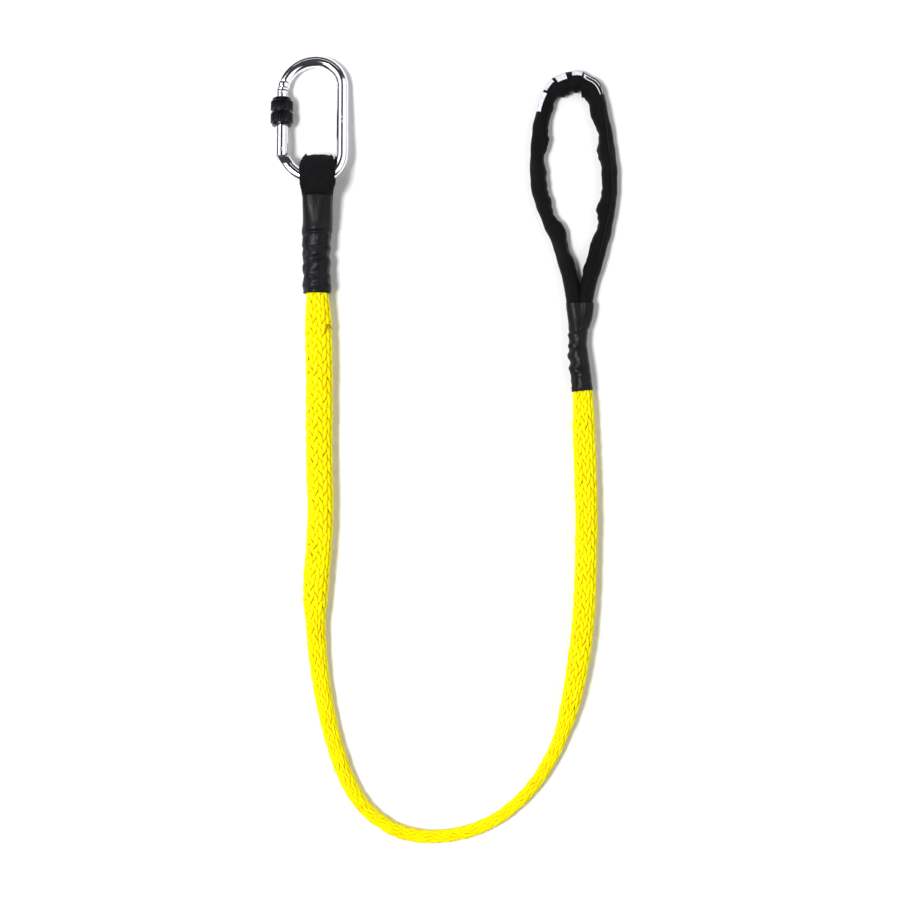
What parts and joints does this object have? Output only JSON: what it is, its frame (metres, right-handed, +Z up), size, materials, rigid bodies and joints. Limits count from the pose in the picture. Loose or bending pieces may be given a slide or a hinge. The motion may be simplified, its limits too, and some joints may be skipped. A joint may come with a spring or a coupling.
{
  "type": "tow rope handle",
  "caption": "Short hollow-braid tow rope with a screw-gate carabiner in a sleeved eye at one end and a sleeved hand loop at the other.",
  "frame": {"origin": "on the surface that it lies on, under the middle of the box round the carabiner and the hand loop", "axes": "+X from the carabiner towards the hand loop, +Y from the rope's bend towards the two ends, +Z up"},
  "size_m": [0.284, 0.6517, 0.0337],
  "materials": {
    "polished_metal": "mirror-polished rod and gate",
    "black_anodised": "black knurled lock sleeve",
    "plain_steel": "plain steel pins and springs",
    "yellow_braid": "bright yellow hollow braid",
    "black_webbing": "coarse black weave",
    "heat_shrink": "charcoal semi-matte shrink tube",
    "black_tube": "smooth black tubular sleeve",
    "black_thread": "black thread",
    "light_print": "pale grey-white print"
  },
  "bodies": {
    "line": {"rope": "yellow_braid", "clip_eye_strand": "yellow_braid", "clip_eye_webbing": "black_webbing", "clip_heat_shrink": "heat_shrink", "clip_lock_stitching": "black_thread", "clip_splice_tail": "yellow_braid", "hand_loop_strand": "yellow_braid", "hand_loop_sleeve": "black_tube", "hand_loop_seam": "black_thread", "handle_heat_shrink": "heat_shrink", "handle_lock_stitching": "black_thread", "handle_splice_tail": "yellow_braid", "handle_marks": "light_print"},
    "carabiner": {"carabiner_frame": "polished_metal", "hinge_rivet": "plain_steel"},
    "gate": {"gate_arm": "polished_metal", "latch_pin": "plain_steel", "gate_spring": "plain_steel"},
    "plunger": {"spring_plunger": "plain_steel"},
    "lock_ring": {"sleeve_stop_ring": "plain_steel"},
    "lock_sleeve": {"lock_sleeve": "black_anodised"}
  },
  "joints": [
    {"name": "carabiner_swing", "type": "hinge", "parent": "line", "child": "carabiner", "pos_m": [-0.1049, 0.035, 0.017], "axis": [1, 0, 0], "range_deg": [-90, 90]},
    {"name": "gate_pivot", "type": "hinge", "parent": "carabiner", "child": "gate", "pos_m": [-0.1331, 0.05833, 0.01418], "axis": [0, -0.1201, -0.9928], "range_deg": [0, 25], "stiffness_Nm_per_rad": 0.08, "springref_deg": -28.65},
    {"name": "lock_travel", "type": "slide", "parent": "gate", "child": "lock_ring", "axis": [0, 0.9928, -0.1201], "range_m": [0, 0.009]},
    {"name": "lock_turn", "type": "hinge", "parent": "lock_ring", "child": "lock_sleeve", "pos_m": [-0.1331, 0.09059, 0.01027], "axis": [0, 0.9928, -0.1201], "range_deg": [0, 720]},
    {"name": "plunger_travel", "type": "slide", "parent": "gate", "child": "plunger", "axis": [0, 0.9928, -0.1201], "range_m": [0, 0.0013], "deforming": ["gate_spring"]}
  ],
  "couplings": [
    {"joint": "lock_turn", "follows": "lock_travel", "rad_per_m": 1396.3},
    {"joint": "plunger_travel", "follows": "gate_pivot", "m_per_rad": 0.00265}
  ]
}
